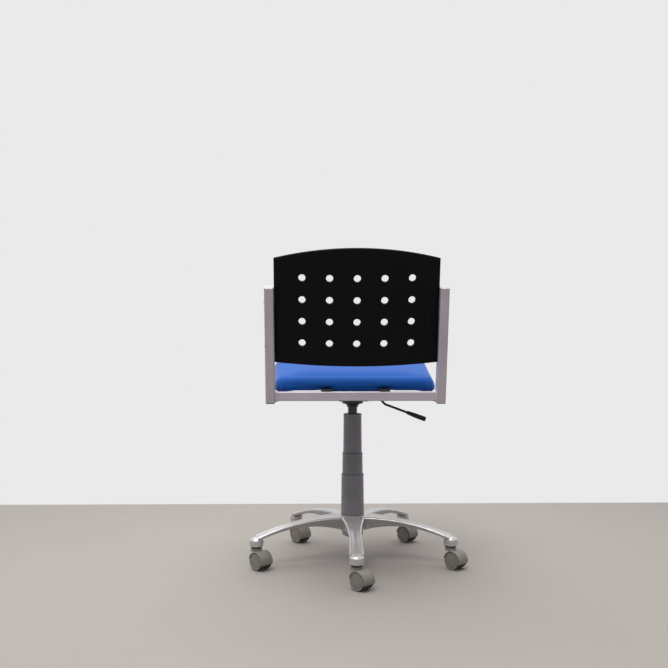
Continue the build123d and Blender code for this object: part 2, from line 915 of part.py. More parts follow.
def make_lever_grip():
    """Swollen grip with shallow rings, closed at its outer end."""
    radius = grip_diameter / 2
    neck = grip_neck_radius
    bore = lever_diameter / 2 + press_gap
    depth = grip_length - grip_end_round * 2 + seat_gap
    edges = [
        Line((bore, 0), (neck, 0)),
        ThreePointArc((neck, 0), (grip_swell_radius, grip_swell_at), (radius, grip_length - grip_end_round)),
        ThreePointArc(
            (radius, grip_length - grip_end_round),
            (grip_tip_shoulder, grip_length - grip_end_round / 4),
            (grip_tip_radius, grip_length),
        ),
        Line((grip_tip_radius, grip_length), (0, grip_length)),
        Line((0, grip_length), (0, depth)),
        Line((0, depth), (bore, depth)),
        Line((bore, depth), (bore, 0)),
    ]
    grip = turned_edges(*edges)
    for height in spaced(grip_ring_first, grip_ring_last, grip_ring_count):
        grip -= ring(radius + grip_ring_depth, radius - grip_ring_depth, height, grip_ring_depth * 2)
    return grip_plane().location * grip


# Frame

def post_offset(side):
    """Middle of an upright across the chair."""
    return side * (frame_width - post_width) / 2


def screw_heights():
    """Heights of the shell screws up the slope."""
    return [shell_foot + screw_low, post_top - screw_drop]


def screw_rear():
    """How far the screws stand off the middle of the upright, inside the curved shell edge."""
    reach = shell_width / 2 - screw_grip / 2
    return shell_sag - (shell_radius - sqrt(shell_radius ** 2 - reach ** 2))


def at_screw(side, height):
    """Frame of a shell screw at the outer face of an upright, with its Z towards the middle."""
    point = lean_point(side * frame_width / 2, height, screw_rear())
    return Plane(origin=point, x_dir=lean_up, z_dir=(-side, 0, 0)).location


def post_shape(grow):
    """Section of an upright, made smaller or larger all round."""
    return RectangleRounded(post_width + 2 * grow, post_depth + 2 * grow, post_corner + grow)


def make_upright(side):
    """Leaning rectangular tube, drilled for the shell screws."""
    low = plug_head - post_foot
    length = post_length - plug_head - cap_head
    plane = lean_section(post_offset(side), low)
    tube = extrude(plane * post_shape(0), length) - extrude(plane * post_shape(-post_wall), length)
    for height in screw_heights():
        tube -= at_screw(side, height) * Cylinder(screw_diameter / 2 + bolt_clearance, post_width * 3)
    return tube


def make_cap(side, height, head, outward):
    """End piece of an upright: a rounded head and an insert in the tube."""
    plane = lean_section(post_offset(side), height)
    cap = extrude(plane * post_shape(0), head * outward)
    far = cap.faces().sort_by(Axis((0, 0, 0), lean_up))
    face = far[-1] if outward > 0 else far[0]
    cap = fillet(face.edges(), cap_edge)
    return cap + extrude(plane * post_shape(-post_wall - press_gap), -cap_insert * outward)


def make_upright_caps():
    """Painted caps on the tops of the uprights."""
    height = post_top - cap_head
    return [make_cap(side, height, cap_head, 1) for side in (-1, 1)]


def make_upright_plugs():
    """Dark plugs in the feet of the uprights."""
    return [make_cap(side, plug_head - post_foot, plug_head, -1) for side in (-1, 1)]


def make_rear_rail():
    """Square tube between the uprights, with a small gusset under each end."""
    section = Plane(origin=(-frame_inner / 2, -rail_setback, rail_middle), x_dir=(0, 1, 0), z_dir=(1, 0, 0))
    outer = RectangleRounded(rail_size, rail_size, rail_corner)
    inside = rail_size - 2 * post_wall
    inner = RectangleRounded(inside, inside, rail_corner - post_wall)
    rail = extrude(section * outer, frame_inner) - extrude(section * inner, frame_inner)
    low = rail_middle - rail_size / 2
    root = low + post_wall / 2
    for side in (-1, 1):
        edge = side * frame_inner / 2
        corners = [(edge, root), (edge, low - gusset_drop), (edge - side * gusset_run, root)]
        face = Plane.XZ * make_face(Polyline(*corners, close=True))
        rail += Pos(0, -rail_setback, 0) * extrude(face, gusset_depth / 2, both=True)
    return rail


def make_seat_bar(side):
    """Flat bar welded on the rail and clamped between mechanism plate and seat board."""
    rear = rail_setback + rail_size / 2 - rail_corner
    middle = (bar_front - rear) / 2
    length = bar_front + rear
    shape = RectangleRounded(bar_width, length, bar_corner)
    bar = Pos(side * bolt_spacing_x / 2, middle, bar_base) * extrude(shape, bar_thickness)
    for place in bolt_places():
        bar -= place * post(bolt_diameter / 2 + bolt_clearance, bar_base, bar_thickness)
    return bar


# Backrest shell

def shell_outline():
    """Outline of the shell up the slope: square corners and bowed top and bottom edges."""
    half = shell_width / 2
    top = shell_foot + shell_side_height
    edges = [
        ThreePointArc((-half, shell_foot), (0, shell_foot - shell_foot_bow), (half, shell_foot)),
        Line((half, shell_foot), (half, top)),
        ThreePointArc((half, top), (0, top + shell_bow), (-half, top)),
        Line((-half, top), (-half, shell_foot)),
    ]
    return lean_face() * make_face(edges)


def shell_arc(radius, middle, half):
    """Arc of the shell across its width, bulging to the rear in the middle."""
    drop = radius - sqrt(radius ** 2 - half ** 2)
    return ThreePointArc((-half, drop - middle), (0, -middle), (half, drop - middle))


def make_backrest_shell():
    """Curved moulded shell with rounded edges and rows of holes."""
    half = shell_width / 2
    rear = shell_arc(shell_radius + shell_thickness / 2, shell_sag + shell_thickness / 2, half)
    front = shell_arc(shell_radius - shell_thickness / 2, shell_sag - shell_thickness / 2, half)
    section = make_face([rear, front, Line(rear @ 0, front @ 0), Line(rear @ 1, front @ 1)])
    height = shell_foot_bow + shell_side_height + shell_bow
    band = extrude(lean_section(0, shell_foot - shell_foot_bow) * section, height)
    depth = shell_sag + shell_thickness * 3
    shell = band & extrude(shell_outline(), depth, both=True)
    shell = fillet(shell_long_edges(shell), shell_edge)
    shell -= shell_holes(depth)
    for side in (-1, 1):
        for screw in screw_heights():
            hole_depth = post_width + seat_gap + screw_grip + screw_spare
            hole = Pos(0, 0, hole_depth / 2) * Cylinder(screw_diameter / 2 + press_gap, hole_depth)
            shell -= at_screw(side, screw) * hole
    return shell


def shell_long_edges(shell):
    """Edges that run round the front and the rear of the shell, without the four short corners."""
    return [edge for edge in shell.edges() if edge.length > shell_thickness * 2]


def shell_holes(depth):
    """Straight holes through the shell, with a softened edge at the rear."""
    cutters = []
    for column in range(hole_columns):
        for row in range(hole_rows):
            x = (column - (hole_columns - 1) / 2) * hole_pitch_x
            up = shell_foot + (row + 1) * hole_pitch_v
            bulge = shell_sag - (shell_radius - sqrt(shell_radius ** 2 - x ** 2))
            rear = bulge + shell_thickness / 2
            place = Pos(x, up, 0)
            cutters.append(lean_face() * place * Cylinder(hole_diameter / 2, depth * 2))
            wide = hole_diameter / 2 + 2 * hole_edge
            bevel = Pos(x, up, rear) * Cone(hole_diameter / 2, wide, 2 * hole_edge)
            cutters.append(lean_face() * bevel)
    return cutters


def make_backrest_screws():
    """Domed screws through the uprights into the shell edges."""
    length = post_width + seat_gap + screw_grip
    shank = post(screw_diameter / 2, 0, length)
    edges = [
        Line((0, 0), (screw_head_radius, 0)),
        dome(screw_head_radius, 0, -screw_head),
        Line((0, -screw_head), (0, 0)),
    ]
    screw = shank + turned_edges(*edges)
    return [at_screw(side, height) * screw for side in (-1, 1) for height in screw_heights()]


# Seat

def seat_outline(inset, height, tilt=0.0):
    """Plan of the seat, wider at the front, drawn in by the inset and tilted up at the front."""
    front = cushion_front - inset
    rear = -cushion_rear + inset
    wide = cushion_front_width / 2 - inset
    narrow = cushion_rear_width / 2 - inset
    face = make_face(Polyline((-narrow, rear), (narrow, rear), (wide, front), (-wide, front), close=True))
    corners = face.vertices().sort_by(Axis.Y)
    share = 1.0 - inset / (cushion_roll + cushion_crown_reach) * corner_loss
    face = fillet(corners[:2], cushion_rear_corner * share)
    face = fillet(face.vertices().sort_by(Axis.Y)[-2:], cushion_front_corner * share)
    return Pos(0, 0, height) * Rot(tilt, 0, 0) * face


def make_seat_board():
    """Moulded board under the cushion, bored and let in for the tee nuts."""
    board = extrude(seat_outline(board_inset, board_base), board_thickness)
    for place in bolt_places():
        board -= place * post(nut_barrel / 2 + press_gap, board_base, board_thickness)
        board -= place * post(nut_flange_radius + press_gap, board_top - nut_flange, nut_flange)
    return board


def make_seat_cushion():
    """Crowned cushion whose sides roll over and tuck in round the board."""
    side = board_base + cushion_side_height
    edge = board_base + cushion_edge_height
    sections = [seat_outline(cushion_tuck, board_base), seat_outline(0.0, side)]
    for step in range(1, cushion_roll_steps + 1):
        angle = radians(90.0 * step / cushion_roll_steps)
        inset = cushion_roll * (1.0 - cos(angle))
        sections.append(seat_outline(inset, side + (edge - side) * sin(angle), cushion_tilt * sin(angle)))
    for step in range(1, cushion_crown_steps + 1):
        share = step / cushion_crown_steps
        inset = cushion_roll + cushion_crown_reach * share
        rise = cushion_crown * (1.0 - (1.0 - share) ** 2)
        sections.append(seat_outline(inset, edge + rise, cushion_tilt))
    cushion = loft(sections)
    return cushion - extrude(seat_outline(board_inset - seat_gap, board_base), board_thickness)


def save(name, shape):
    """Write one named piece, or one group of like pieces."""
    body = Compound(children=shape) if isinstance(shape, list) else shape
    export_step(body, "parts/" + name + ".step")


def save_castor(index):
    """Write the pieces of one castor."""
    name = "castor_" + str(index + 1)
    save(name + "_hood", at_castor(index) * make_hood())
    save(name + "_axle", at_castor(index) * make_axle())
    save(name + "_wheel_left", at_castor(index) * make_wheel(1))
    save(name + "_wheel_right", at_castor(index) * make_wheel(-1))


def save_all():
    """Write every piece of the chair."""
    save("star_base", make_star_base())
    save("castor_sleeves", make_castor_sleeves())
    save("castor_stems", make_castor_stems())
    for index in range(castor_count):
        save_castor(index)
    save("lift_tube", make_lift_tube())
    save("guide_bush", make_guide_bush())
    save("bearing_lower_race", make_race(race_base))
    save("bearing_balls", make_ball_cage())
    save("bearing_upper_race", make_race(upper_race_base))
    save("piston_rod", make_piston_rod())
    save("rod_clip", make_rod_clip())
    save("piston", make_piston())
    save("gas_cylinder", make_gas_cylinder())
    save("cylinder_gland", make_cylinder_gland())
    save("valve_button", make_valve_button())
    save("cover_lower", make_cover_lower())
    save("cover_middle", make_cover_middle())
    save("cover_upper", make_cover_upper())
    save("taper_socket", make_taper_socket())
    save("mechanism_housing", make_mechanism_housing())
    save("mechanism_plate", make_mechanism_plate())
    save("lever_pivot", make_lever_pivot())
    save("mechanism_bolts", make_mechanism_bolts())
    save("tee_nuts", make_tee_nuts())
    save("lever_rod", make_lever_rod())
    save("lever_grip", make_lever_grip())
    save("left_upright", make_upright(-1))
    save("right_upright", make_upright(1))
    save("upright_caps", make_upright_caps())
    save("upright_plugs", make_upright_plugs())
    save("rear_rail", make_rear_rail())
    save("left_seat_bar", make_seat_bar(-1))
    save("right_seat_bar", make_seat_bar(1))
    save("backrest_shell", make_backrest_shell())
    save("backrest_screws", make_backrest_screws())
    save("seat_board", make_seat_board())
    save("seat_cushion", make_seat_cushion())


save_all()
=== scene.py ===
import json
import math

import bmesh
import bpy
import numpy as np
from bpy.props import FloatProperty, FloatVectorProperty, PointerProperty
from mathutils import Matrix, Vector


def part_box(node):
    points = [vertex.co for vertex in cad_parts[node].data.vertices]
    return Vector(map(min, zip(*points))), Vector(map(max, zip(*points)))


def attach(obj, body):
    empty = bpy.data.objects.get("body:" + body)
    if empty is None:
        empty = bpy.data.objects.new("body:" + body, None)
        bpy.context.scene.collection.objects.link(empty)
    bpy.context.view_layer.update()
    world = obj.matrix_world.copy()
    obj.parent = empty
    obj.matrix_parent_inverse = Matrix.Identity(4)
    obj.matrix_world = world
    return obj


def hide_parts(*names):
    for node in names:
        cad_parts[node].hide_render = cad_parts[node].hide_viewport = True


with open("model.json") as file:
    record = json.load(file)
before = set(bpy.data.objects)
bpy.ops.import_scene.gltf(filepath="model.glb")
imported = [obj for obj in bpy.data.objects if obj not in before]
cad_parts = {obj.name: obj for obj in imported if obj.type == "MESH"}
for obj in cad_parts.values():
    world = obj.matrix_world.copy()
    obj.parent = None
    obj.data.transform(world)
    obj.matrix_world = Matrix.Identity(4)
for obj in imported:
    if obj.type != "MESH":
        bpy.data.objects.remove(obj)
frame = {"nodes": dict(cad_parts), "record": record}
NODES = frame["nodes"]
JOINTS = {joint["name"]: joint for joint in frame["record"]["behaviour"]["joints"]}
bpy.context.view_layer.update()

bl_info = {
    "name": "Swivel Office Chair",
    "version": (1, 0, 0),
    "blender": (4, 5, 0),
    "location": "3D View > Sidebar > Chair",
    "description": "Dresses the frame of a swivel office chair with its finishes and upholstery",
    "category": "Object",
}

# Camera at the angle of the photograph
CAMERA_PLACE = (-0.1039, -2.6691, 0.6958)
CAMERA_LOOK = (0.018186, 0.999805, -0.007691)
CAMERA_LENS = 48.19
SENSOR_WIDTH = 36.0

# Stage: floor, background, light of the world by its direction, y + lean z, and the lamps, each
# with its name, place, target, size and power
FLOOR_REACH = 9.0
FLOOR_END = 0.85
BACKGROUND = 0.82
SKY_LEAN = 0.9
SKY_SPAN = (-0.25, 0.75)
SKY_LEVELS = (0.10, 0.88)
LAMPS = (
    ("overhead", (-0.3, 0.1, 2.7), (0.0, 0.0, 0.4), 2.0, 46.0),
    ("rear_ceiling", (-0.7, -1.9, 3.2), (0.0, -0.2, 0.2), 1.2, 34.0),
)

# Cloth of the cushion
CLOTH = {
    "quality": 5,
    "tension_stiffness": 30.0,
    "compression_stiffness": 30.0,
    "shear_stiffness": 15.0,
    "bending_stiffness": 12.0,
    "use_pressure": True,
}
CLOTH_FRAMES = 20
HELD_HEIGHT = 0.006
HELD_FADE = 0.02
SHIFT_ROUNDS = 24
SETTLE_ROUNDS = 20
SINK_SHARE = 0.3
MERGE_DISTANCE = 1e-5

# Lower rim of the cover: shares of the droop, and where they change
RIM_FALL = 0.025
FACES_DOWN = -0.5
FRONT_SHARE = 0.6
BETWEEN_SHARE = 0.75
BESIDE_SHARE = 0.45
CORNER_SHARE = 0.55
BAR_MARGIN = 0.002
BETWEEN_FADE = 0.012
BESIDE_FADE = 0.013
CORNER_X = (0.165, 0.200)
CORNER_Y = (0.12, 0.17)

# Gathers round the corners of the cover
GATHER_REACH = 0.055
GATHER_BAND = 0.07
GATHER_TOP = 0.045
GATHER_FADE = 0.04
GATHER_WAVES = 14.0

# Hem and staples under the seat board
HEM_STATIONS = 720
HEM_COLUMNS = 13
HEM_LIP = 0.004
HEM_GAP = 0.0001
HEM_THICKNESS = 0.0009
HEM_WAVE = 0.0016
HEM_LONG_WAVES = 23.0
HEM_SHORT_WAVES = 61.0
HEM_SHORT_SHARE = 0.6
HEM_FOLD = 0.0003
HEM_FOLD_COUNT = 90.0
HEM_FOLD_SHIFT = 3.0
HEM_SHIFT_COUNT = 7.0
HEM_ROLL = 0.0028
HEM_ROLL_FALL = 5.0
EDGE_SHARE = 0.36
STAPLE_COUNT = 46
STAPLE_LINE = 0.55
STAPLE_LEAN = 0.35
STAPLE_LEAN_RATE = 2.4
STAPLE_DROP = 0.0017
STAPLE_HALF_WIDTH = 0.0006
STAPLE_HALF_HEIGHT = 0.0004

# Weld beads
RAIL_CORNER = 0.003
WELD_STATIONS = 180
WELD_SIDES = 10
WELD_RIPPLE = 0.10
WELD_RIPPLE_STEP = 6.0
WELD_SWAY = 0.06
WELD_SWAY_RATE = 0.37


def colour(label, value, words):
    """A colour that a user may change."""
    return FloatVectorProperty(
        name=label, description=words, subtype="COLOR", size=3, min=0, max=1, default=value
    )


def length(label, value, words):
    """A length in metres that a user may change."""
    return FloatProperty(
        name=label, description=words, default=value, min=0,
        unit="LENGTH", subtype="DISTANCE", precision=5,
    )


class ChairColours(bpy.types.PropertyGroup):
    """Colours of the finishes."""

    shell: colour("Back shell", (0.0022, 0.0022, 0.0028), "Black moulded shell of the backrest")
    frame: colour("Frame paint", (0.525, 0.485, 0.54), "Silver paint on the tubes of the frame")
    fabric: colour("Upholstery", (0.010, 0.105, 0.45), "Blue cover of the cushion")
    sleeve: colour("Column sleeves", (0.245, 0.236, 0.264), "Grey sleeves round the gas lift")
    castor: colour("Castor hoods", (0.285, 0.268, 0.245), "Grey plastic of the castor hoods")
    wheel: colour("Castor wheels", (0.265, 0.252, 0.228), "Grey plastic of the wheel discs")
    tread: colour("Treads", (0.045, 0.044, 0.042), "Dark running surface of the wheels")
    trim: colour("Black trim", (0.012, 0.012, 0.013), "Black plastic of grip, plugs and collars")
    steel: colour("Black steel", (0.014, 0.014, 0.016), "Black paint of the seat mechanism")
    tube: colour("Gas lift", (0.05, 0.05, 0.055), "Dark plating of the gas lift")
    base: colour("Base metal", (0.66, 0.65, 0.645), "Polished casting of the star base")
    zinc: colour("Zinc plating", (0.62, 0.62, 0.64), "Plated bolts, axles and stems")
    board: colour("Seat board", (0.40, 0.26, 0.14), "Moulded ply under the cushion")
    bush: colour("Guide bush", (0.68, 0.67, 0.64), "Pale plastic guide in the lift tube")
    floor: colour("Floor", (0.385, 0.355, 0.332), "Plain pale floor")


class ChairSizes(bpy.types.PropertyGroup):
    """Sizes of the dressing."""

    weave: length("Weave pitch", 0.0011, "Distance between two threads of the upholstery")
    voxel: length("Cushion voxel", 0.005, "Cell size of the mesh that the cushion is inflated from")
    slack: length("Cushion slack", 0.003, "How much smaller the cushion is before it is inflated")
    swell: length("Cushion swell", 0.0018, "The furthest that the cover may stand off the foam")
    droop: length("Cover droop", 0.0080, "How far the rim of the cover hangs at the rear corners")
    gather: length("Gathers", 0.0011, "Height of the gathers in the cover round the corners")
    weld: length("Weld bead", 0.0022, "Radius of the weld beads on the frame")
    hem: length("Hem", 0.028, "Width of the cover turned under the seat board")
    staple: length("Staple", 0.010, "Length of the staples in the hem")
    pressure: FloatProperty(
        name="Pressure", description="Inflation of the cushion", default=4.0, min=0
    )


def colours():
    """The colours set in the panel."""
    return bpy.context.scene.chair_colours


def sizes():
    """The sizes set in the panel."""
    return bpy.context.scene.chair_sizes


# Finishes

def plug(tree, socket, value):
    """Link a socket to another node's output, or set its value."""
    if isinstance(value, bpy.types.NodeSocket):
        tree.links.new(value, socket)
    else:
        socket.default_value = value


class Finish:
    """Node tree of one material, with a principled shader and Object coordinates."""

    def __init__(self, name):
        self.material = bpy.data.materials.new(name)
        self.material.use_nodes = True
        self.tree = self.material.node_tree
        self.tree.nodes.clear()
        self.shader = self.add("ShaderNodeBsdfPrincipled")
        self.feed(self.add("ShaderNodeOutputMaterial"), self.shader.outputs[0])
        self.place = self.add("ShaderNodeTexCoord").outputs["Object"]

    def add(self, kind, **settings):
        """A new node with its settings."""
        node = self.tree.nodes.new(kind)
        for key, value in settings.items():
            setattr(node, key, value)
        return node

    def feed(self, node, *values):
        """Link or set the inputs of a node in order, skipping None."""
        for socket, value in zip(node.inputs, values):
            if value is not None:
                plug(self.tree, socket, value)
        return node

    def set(self, **values):
        """Link or set inputs of the shader by name."""
        for key, value in values.items():
            plug(self.tree, self.shader.inputs[key.replace("_", " ")], value)

    def sum(self, kind, a, b=None, c=None):
        """Math node."""
        return self.feed(self.add("ShaderNodeMath", operation=kind), a, b, c).outputs[0]

    def noise(self, scale, detail=3.0, stretch=None, where=None):
        """Noise from 0 to 1 with about this many cells in a metre."""
        place = where or self.place
        if stretch:
            mapping = self.feed(self.add("ShaderNodeMapping"), place, None, None, stretch)
            place = mapping.outputs[0]
        node = self.add("ShaderNodeTexNoise")
        node.inputs["Scale"].default_value = scale
        node.inputs["Detail"].default_value = detail
        self.tree.links.new(place, node.inputs["Vector"])
        return node.outputs[0]

    def span(self, value, low, high, first=0.0, last=1.0):
        """Map a value from first..last to low..high, held at the ends."""
        return self.feed(self.add("ShaderNodeMapRange"), value, first, last, low, high).outputs[0]

    def blend(self, share, first, second):
        """Mix two colours."""
        node = self.add("ShaderNodeMix", data_type="RGBA")
        for index, value in ((0, share), (6, first), (7, second)):
            plug(self.tree, node.inputs[index], value)
        return node.outputs[2]

    def bump(self, height, strength, depth, normal=None):
        """Bump of the given depth in metres."""
        node = self.add("ShaderNodeBump")
        node.inputs["Strength"].default_value = strength
        node.inputs["Distance"].default_value = depth
        self.tree.links.new(height, node.inputs["Height"])
        if normal:
            self.tree.links.new(normal, node.inputs["Normal"])
        return node.outputs[0]

    def rounded(self, radius):
        """Normal with its edges softened over a radius."""
        node = self.add("ShaderNodeBevel", samples=4)
        node.inputs["Radius"].default_value = radius
        return node.outputs[0]

    def facing(self):
        """True normal of the surface."""
        return self.add("ShaderNodeNewGeometry").outputs["Normal"]

    def parts(self, vector):
        """The three parts of a vector."""
        return self.feed(self.add("ShaderNodeSeparateXYZ"), vector).outputs

    def edges(self, normal):
        """Share of edge: how far the softened normal leans from the true one."""
        dot = self.add("ShaderNodeVectorMath", operation="DOT_PRODUCT")
        self.feed(dot, normal, self.facing())
        return self.span(dot.outputs["Value"], 1.0, 0.0, 0.80, 0.995)


def tone(value, share):
    """A colour made lighter or darker, with its alpha."""
    return tuple(min(channel * share, 1.0) for channel in value) + (1.0,)


def plastic(name, value, rough, grain=1500.0, depth=0.00012, gloss=0.35, edge=1.6, soft=0.0008):
    """Moulded plastic: cloudy colour, a fine grain, rubbed edges and uneven gloss."""
    f = Finish(name)
    normal = f.rounded(soft)
    cloud = f.noise(scale=14.0, detail=4.0)
    rub = f.noise(scale=160.0, detail=5.0, stretch=(1.0, 1.0, 0.35))
    body = f.blend(f.span(cloud, 0.0, 1.0, 0.3, 0.7), tone(value, 0.86), tone(value, 1.12))
    worn = f.sum("MULTIPLY", f.edges(normal), f.span(rub, 0.1, 1.0, 0.35, 0.7))
    f.set(Base_Color=f.blend(worn, body, tone(value, edge)))
    f.set(Roughness=f.span(rub, rough - 0.07, rough + 0.09, 0.25, 0.75))
    fine = f.noise(scale=grain, detail=2.0)
    f.set(Normal=f.bump(fine, strength=0.22, depth=depth, normal=normal))
    f.set(Specular_IOR_Level=gloss)
    return f


def paint(name, value, rough, flake=0.0, metallic=0.0, coat=0.0):
    """Sprayed paint: slight orange peel, fine flakes, and chips along the edges."""
    f = Finish(name)
    normal = f.rounded(0.0011)
    peel = f.noise(scale=420.0, detail=2.0)
    sparkle = f.noise(scale=5200.0, detail=1.0)
    cloud = f.noise(scale=9.0, detail=4.0)
    chipped = f.noise(scale=230.0, detail=5.0)
    smear = f.noise(scale=60.0, detail=5.0)
    body = f.blend(f.span(cloud, 0.0, 1.0, 0.3, 0.7), tone(value, 0.93), tone(value, 1.07))
    body = f.blend(f.span(sparkle, 0.0, flake, 0.5, 0.8), body, tone(value, 1.9))
    chips = f.sum("MULTIPLY", f.edges(normal), f.span(chipped, 0.0, 0.7, 0.52, 0.66))
    f.set(Base_Color=f.blend(chips, body, tone(value, 1.5)))
    f.set(Roughness=f.span(smear, rough - 0.06, rough + 0.08, 0.25, 0.75))
    f.set(Metallic=metallic, Coat_Weight=coat, Coat_Roughness=0.18)
    f.set(Normal=f.bump(peel, strength=0.18, depth=0.00025, normal=normal))
    return f


def metal(name, value, rough, scratch=(1.0, 1.0, 1.0), painted_shade=0.0, soft=0.0008):
    """Metal: fine scratches, dull patches, painted shade where it faces sideways or down, and a
    rougher cast skin where it faces down.

    The painted shade fades with the distance from the middle of the chair.
    """
    f = Finish(name)
    normal = f.rounded(soft)
    lines = f.noise(scale=900.0, detail=3.0, stretch=scratch)
    patches = f.noise(scale=26.0, detail=5.0)
    dull = f.span(patches, 0.0, 1.0, 0.35, 0.75)
    tint = f.blend(dull, tone(value, 1.0), tone(value, 0.90))
    # Painted shade: faces turned sideways or down darken towards three tenths of the colour, most
    # within about a quarter metre of the middle of the chair
    if painted_shade:
        up = f.parts(f.facing())[2]
        away = f.feed(f.add("ShaderNodeVectorMath", operation="LENGTH"), f.place)
        fade = f.span(away.outputs["Value"], painted_shade, painted_shade * 0.4, 0.22, 0.29)
        flank_shade_share = f.sum("MULTIPLY", f.span(up, 1.0, 0.0, 0.20, 0.60), fade)
        tint = f.blend(flank_shade_share, tint, tone(value, 0.30))
        dull = f.sum("MAXIMUM", dull, f.span(up, 1.0, 0.0, -0.55, -0.25))
    f.set(Base_Color=tint, Metallic=1.0)
    uneven = f.span(lines, -0.02, 0.04)
    f.set(Roughness=f.sum("ADD", f.span(dull, rough, rough + 0.09), uneven))
    f.set(Normal=f.bump(lines, strength=0.12, depth=0.00008, normal=normal))
    return f


def upholstery(name, value, pitch, base):
    """Woven cover: crossed threads on the plane that each face is nearest to, slubs and sheen.

    Painted shade makes the cover darker near the height of its lower rim.
    """
    f = Finish(name)
    where = f.parts(f.place)
    facing = f.parts(f.facing())
    turn = 2.0 * math.pi / pitch
    wave = [f.sum("SINE", f.sum("MULTIPLY", where[axis], turn)) for axis in range(3)]
    weave = None
    for first, second, across in ((0, 1, 2), (0, 2, 1), (1, 2, 0)):
        cross = f.sum("MULTIPLY", wave[first], wave[second])
        share = f.sum("POWER", f.sum("ABSOLUTE", facing[across]), 2.0)
        part = f.sum("MULTIPLY", cross, share)
        weave = part if weave is None else f.sum("ADD", weave, part)
    thread = f.span(weave, 0.0, 1.0, -1.0, 1.0)
    slub = f.noise(scale=900.0, detail=3.0, stretch=(1.0, 0.2, 0.6))
    cloud = f.noise(scale=7.0, detail=4.0)
    body = f.blend(f.span(cloud, 0.0, 1.0, 0.3, 0.7), tone(value, 0.95), tone(value, 1.05))
    gaps = f.sum("MULTIPLY", f.span(thread, 0.5, 0.0, 0.0, 0.6), f.span(slub, 0.4, 1.0))
    body = f.blend(gaps, body, tone(value, 0.55))
    # Painted shade: the colour is darkest at the height of the board's underside and clears 3 cm
    # above it
    body = f.blend(f.span(where[2], 0.45, 0.0, base, base + 0.03), body, tone(value, 0.5))
    f.set(Base_Color=body, Roughness=f.span(slub, 0.62, 0.80), Specular_IOR_Level=0.10)
    f.set(Sheen_Weight=0.40, Sheen_Roughness=0.30, Sheen_Tint=(0.78, 0.80, 0.90, 1.0))
    height = f.sum("ADD", f.sum("MULTIPLY", thread, 0.6), f.sum("MULTIPLY", slub, 0.4))
    f.set(Normal=f.bump(height, strength=0.30, depth=pitch * 0.25))
    return f


def ply(name, value):
    """Moulded ply: long grain along the seat and a few darker veins."""
    f = Finish(name)
    grain = f.noise(scale=240.0, detail=5.0, stretch=(1.0, 0.08, 1.0))
    veins = f.noise(scale=40.0, detail=4.0, stretch=(1.0, 0.12, 1.0))
    body = f.blend(f.span(grain, 0.0, 1.0, 0.3, 0.7), tone(value, 0.75), tone(value, 1.15))
    f.set(Base_Color=f.blend(f.span(veins, 0.0, 0.5, 0.5, 0.75), body, tone(value, 0.5)))
    f.set(Roughness=f.span(grain, 0.55, 0.72), Normal=f.bump(grain, strength=0.2, depth=0.0003))
    return f


def wheel_finish(name, joint, disc, tread, radius):
    """Wheel plastic about its own axle: a grey disc, turned rings, and a dark dusty tread."""
    f = Finish(name)
    turn = Vector((0.0, 0.0, 1.0)).rotation_difference(Vector(joint["axis"])).to_euler()
    mapping = f.add("ShaderNodeMapping", vector_type="TEXTURE")
    local = f.feed(mapping, f.place, tuple(joint["pos_m"]), tuple(turn)).outputs[0]
    way = f.parts(local)
    square = f.sum("ADD", f.sum("POWER", way[0], 2.0), f.sum("POWER", way[1], 2.0))
    out = f.sum("DIVIDE", f.sum("SQRT", square), radius)
    rim = f.span(out, 0.0, 1.0, 0.945, 0.965)
    rings = f.sum("SINE", f.sum("MULTIPLY", out, 300.0))
    dust = f.noise(scale=90.0, detail=5.0, where=local)
    body = f.blend(f.span(dust, 0.0, 1.0, 0.3, 0.7), tone(disc, 0.88), tone(disc, 1.10))
    running = f.blend(f.span(dust, 0.0, 1.0, 0.4, 0.75), tone(tread, 0.8), tone(tread, 2.2))
    f.set(Base_Color=f.blend(rim, body, running), Specular_IOR_Level=0.35)
    f.set(Roughness=f.sum("ADD", f.span(rim, 0.40, 0.68), f.span(dust, -0.05, 0.08)))
    fine = f.noise(scale=1500.0, detail=2.0)
    height = f.sum("ADD", f.sum("MULTIPLY", rings, 0.25), fine)
    f.set(Normal=f.bump(height, strength=0.15, depth=0.0001, normal=f.rounded(0.0006)))
    return f


def dress(finish, *names):
    """Give CAD nodes a finish."""
    for name in names:
        slots = NODES[name].material_slots
        if not slots:
            raise RuntimeError("no material slot on " + name)
        for slot in slots:
            slot.material = finish.material


# Shapes

def closed_grid(rows, columns):
    """Quads of a grid that is joined end to end both ways."""
    grid = np.meshgrid(np.arange(rows), np.arange(columns), indexing="ij")
    row, column = (part.ravel() for part in grid)
    here, after = row * columns, (row + 1) % rows * columns
    beside = (column + 1) % columns
    return np.stack([here + column, here + beside, after + beside, after + column], axis=1)


def new_object(name, data):
    """An object in the scene's own collection."""
    made = bpy.data.objects.new(name, data)
    bpy.context.scene.collection.objects.link(made)
    return made


def new_piece(name, points, faces, finish, body, smooth=True):
    """A mesh piece from whole arrays, which rides on a body and takes a slot's finish."""
    mesh = bpy.data.meshes.new(name)
    mesh.from_pydata(points.reshape(-1, 3).tolist(), [], faces.tolist())
    mesh.materials.append(finish.material)
    if smooth:
        mesh.shade_smooth()
    else:
        mesh.shade_flat()
    mesh.update()
    piece = new_object(name, mesh)
    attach(piece, body)


def points_of(mesh):
    """Vertex places of a mesh as rows."""
    place = np.empty(len(mesh.vertices) * 3)
    mesh.vertices.foreach_get("co", place)
    return place.reshape(-1, 3)


def normals_of(mesh):
    """Vertex normals of a mesh as rows."""
    normal = np.empty(len(mesh.vertices) * 3)
    mesh.vertex_normals.foreach_get("vector", normal)
    return normal.reshape(-1, 3)


def put_points(mesh, place):
    """Move the vertices of a mesh to new places."""
    mesh.vertices.foreach_set("co", place.ravel())
    mesh.update()


